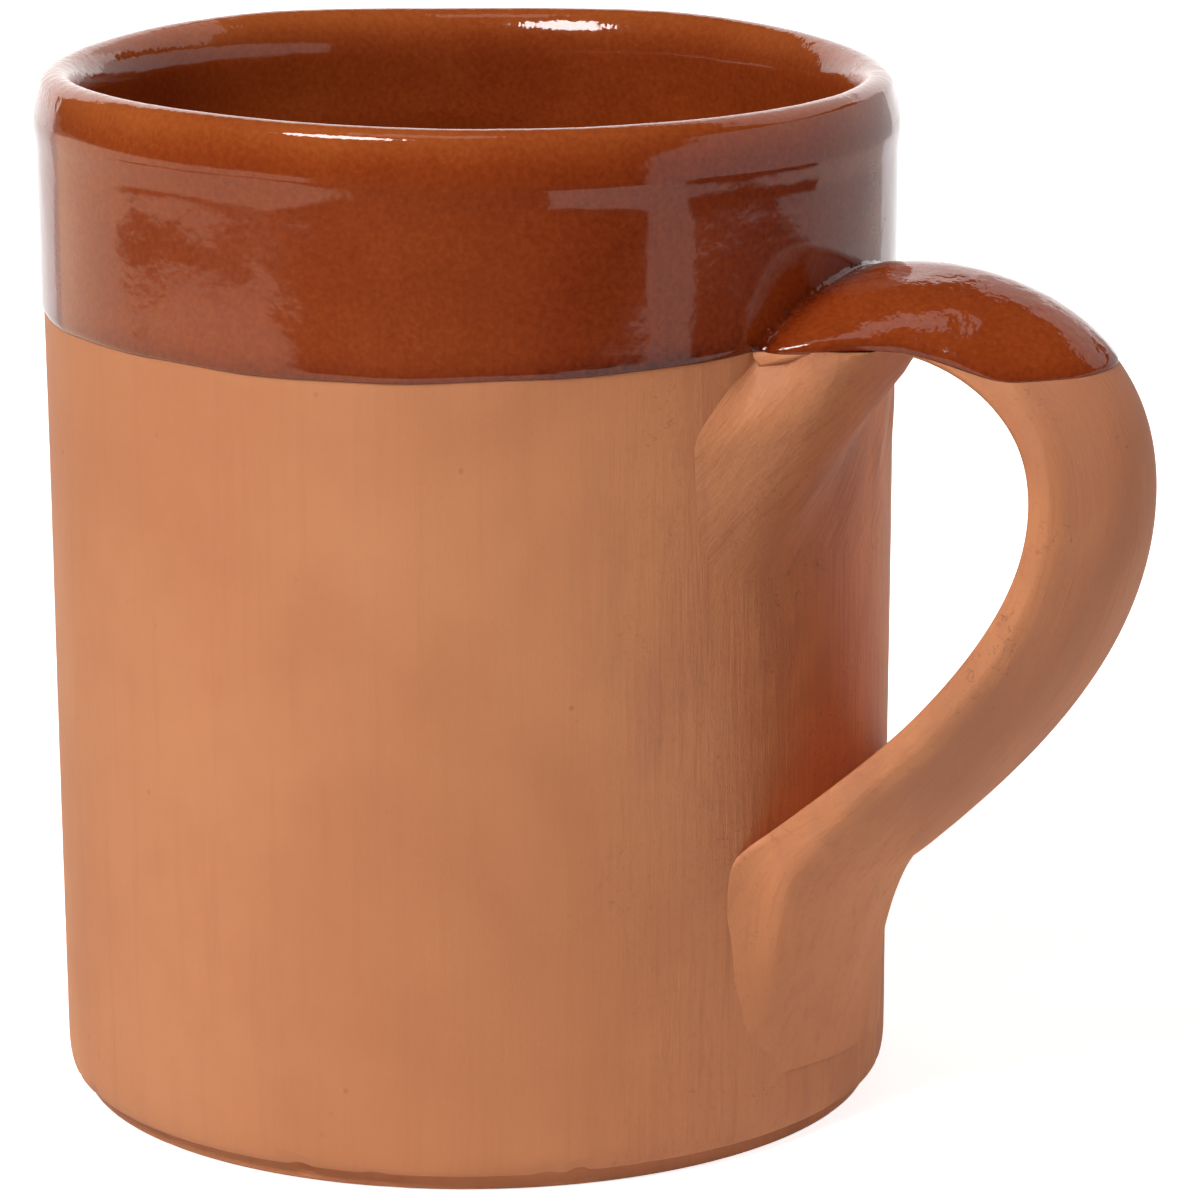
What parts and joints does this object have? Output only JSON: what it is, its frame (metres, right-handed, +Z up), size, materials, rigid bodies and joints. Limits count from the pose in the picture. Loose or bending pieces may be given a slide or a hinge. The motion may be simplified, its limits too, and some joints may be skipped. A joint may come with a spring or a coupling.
{
  "type": "coffee mug",
  "caption": "Hand-thrown earthenware coffee mug: straight round cup with a rounded rim, a strap handle, and glaze inside and on the upper band.",
  "frame": {"origin": "centre of the foot's flat underside", "axes": "+Z up along the cup's axis, +X from the axis out through the handle"},
  "size_m": [0.1141, 0.0842, 0.1019],
  "materials": {
    "clay": "bare fired red earthenware, smooth and matt",
    "joint_slip": "dried joining slip, matt",
    "glaze": "clear brown glaze over red clay, glossy"
  },
  "bodies": {
    "root": {"thrown_body": "clay", "pulled_handle": "clay", "upper_slip_joint": "joint_slip", "lower_slip_joint": "joint_slip", "upper_joint_coil": "clay", "liner_glaze": "glaze", "band_glaze": "glaze", "handle_glaze": "glaze"}
  },
  "joints": []
}
